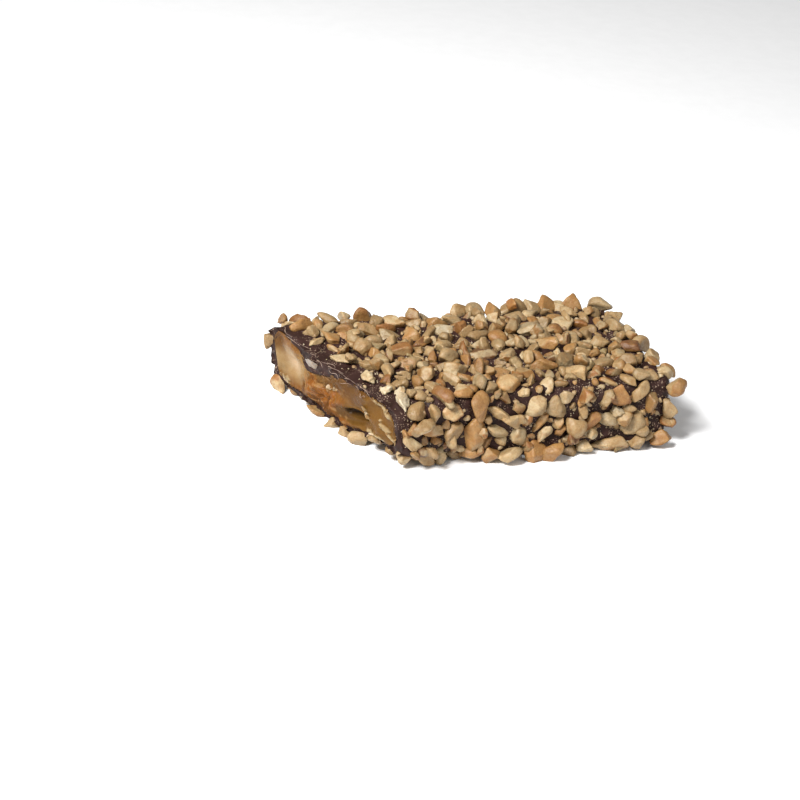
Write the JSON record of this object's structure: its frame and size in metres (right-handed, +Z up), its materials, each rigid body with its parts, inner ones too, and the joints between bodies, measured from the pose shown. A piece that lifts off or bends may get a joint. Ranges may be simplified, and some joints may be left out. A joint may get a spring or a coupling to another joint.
{
  "type": "nut brittle piece",
  "caption": "Bar of hard butter toffee coated in dark chocolate and chopped nuts, one end whole and rounded, the other cut askew so that the layers show.",
  "frame": {"origin": "middle of the underside's bounding rectangle", "axes": "+X along the piece to its whole end, +Y across it to its longer side, +Z up"},
  "size_m": [0.0782, 0.0454, 0.0179],
  "materials": {
    "toffee": "hard caramel, glossy where it snapped and sugary where it crumbled",
    "chocolate": "dark chocolate, semi-matte",
    "nuts": "chopped roasted nuts, matte"
  },
  "bodies": {
    "root": {"toffee_core": "toffee", "chocolate_coat": "chocolate", "nut_coat": "nuts"}
  },
  "joints": []
}
